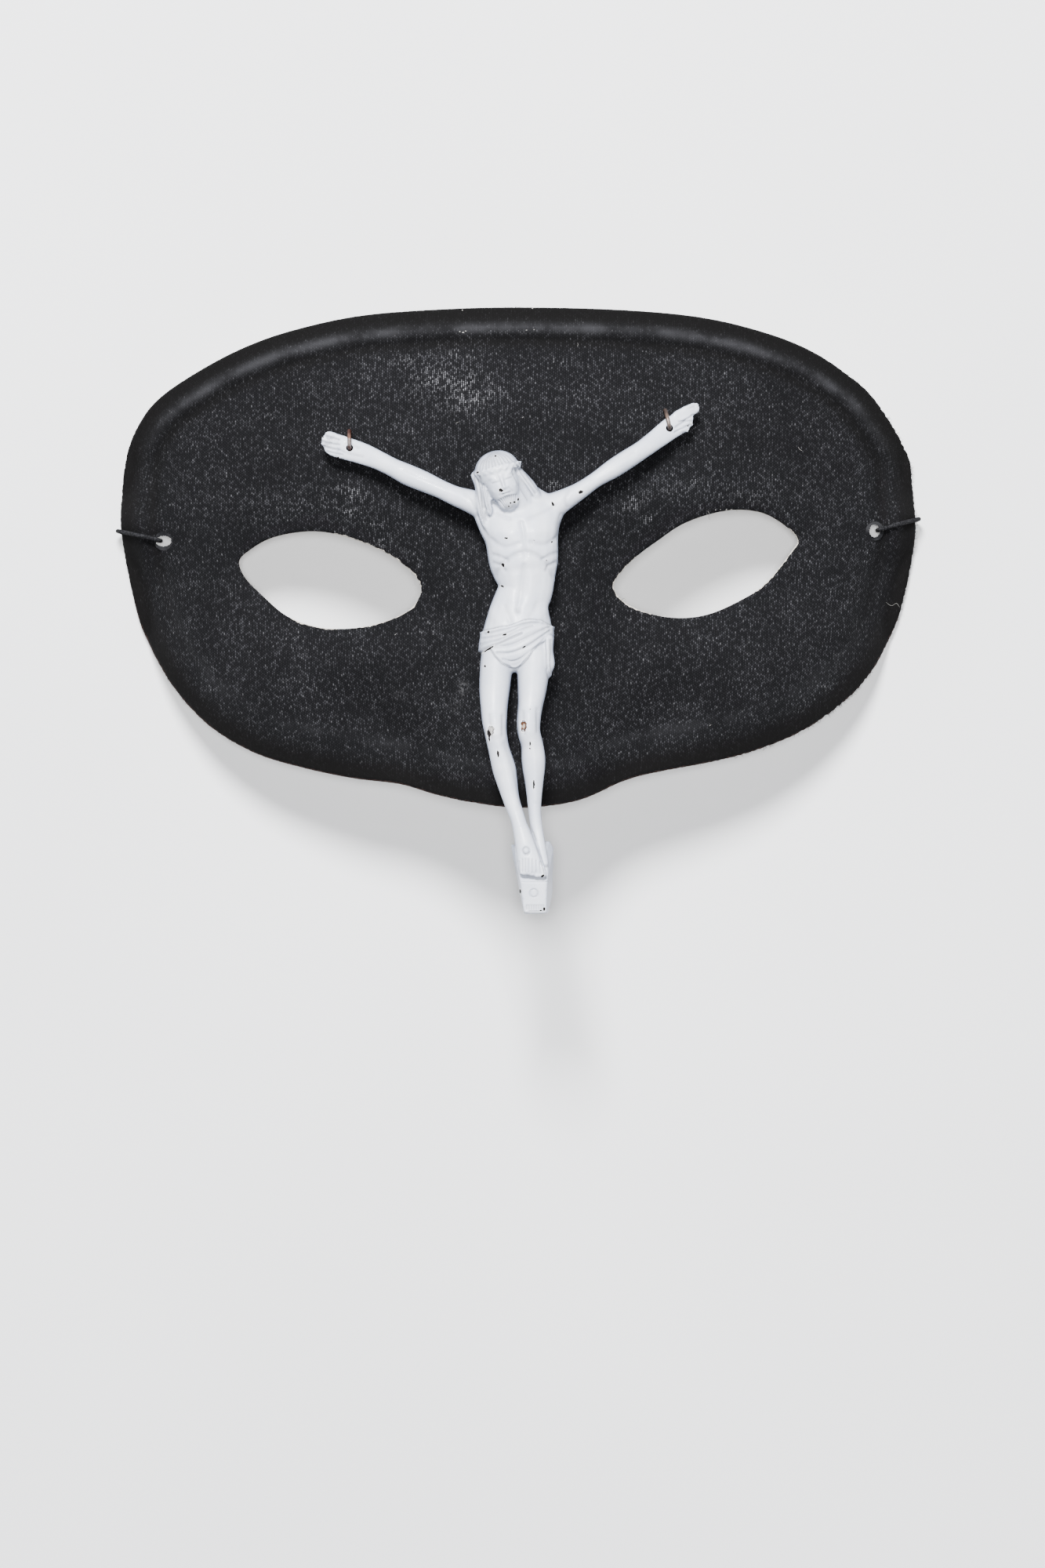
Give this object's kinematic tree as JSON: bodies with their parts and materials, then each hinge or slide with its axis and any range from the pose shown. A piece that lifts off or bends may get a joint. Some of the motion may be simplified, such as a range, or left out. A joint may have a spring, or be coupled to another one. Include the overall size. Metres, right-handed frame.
{
  "type": "half mask with a crucifix figure",
  "caption": "Black knit-covered half mask with almond eye holes, a white-painted cast crucifix figure wired over its nose ridge, and a thin elastic at the sides",
  "frame": {"origin": "on the table under the middle of the object's box, mask lying face up", "axes": "+X to the right of the mask seen from its front, +Y towards the brow, +Z out of the face"},
  "size_m": [0.1937, 0.1418, 0.0613],
  "materials": {
    "knit_fabric": "black fine-knit jersey laminated to a moulded shell, brownish raw edge",
    "white_paint": "semi-gloss cool white paint over copper-coloured metal, with small chips",
    "copper_wire": "tarnished copper-coloured wire",
    "elastic": "black braided round elastic"
  },
  "bodies": {
    "root": {"mask_shell": "knit_fabric", "corpus": "white_paint", "wire_tie_left": "copper_wire", "wire_tie_right": "copper_wire", "elastic_tie_left": "elastic", "elastic_tie_right": "elastic", "elastic_cord": "elastic"}
  },
  "joints": []
}
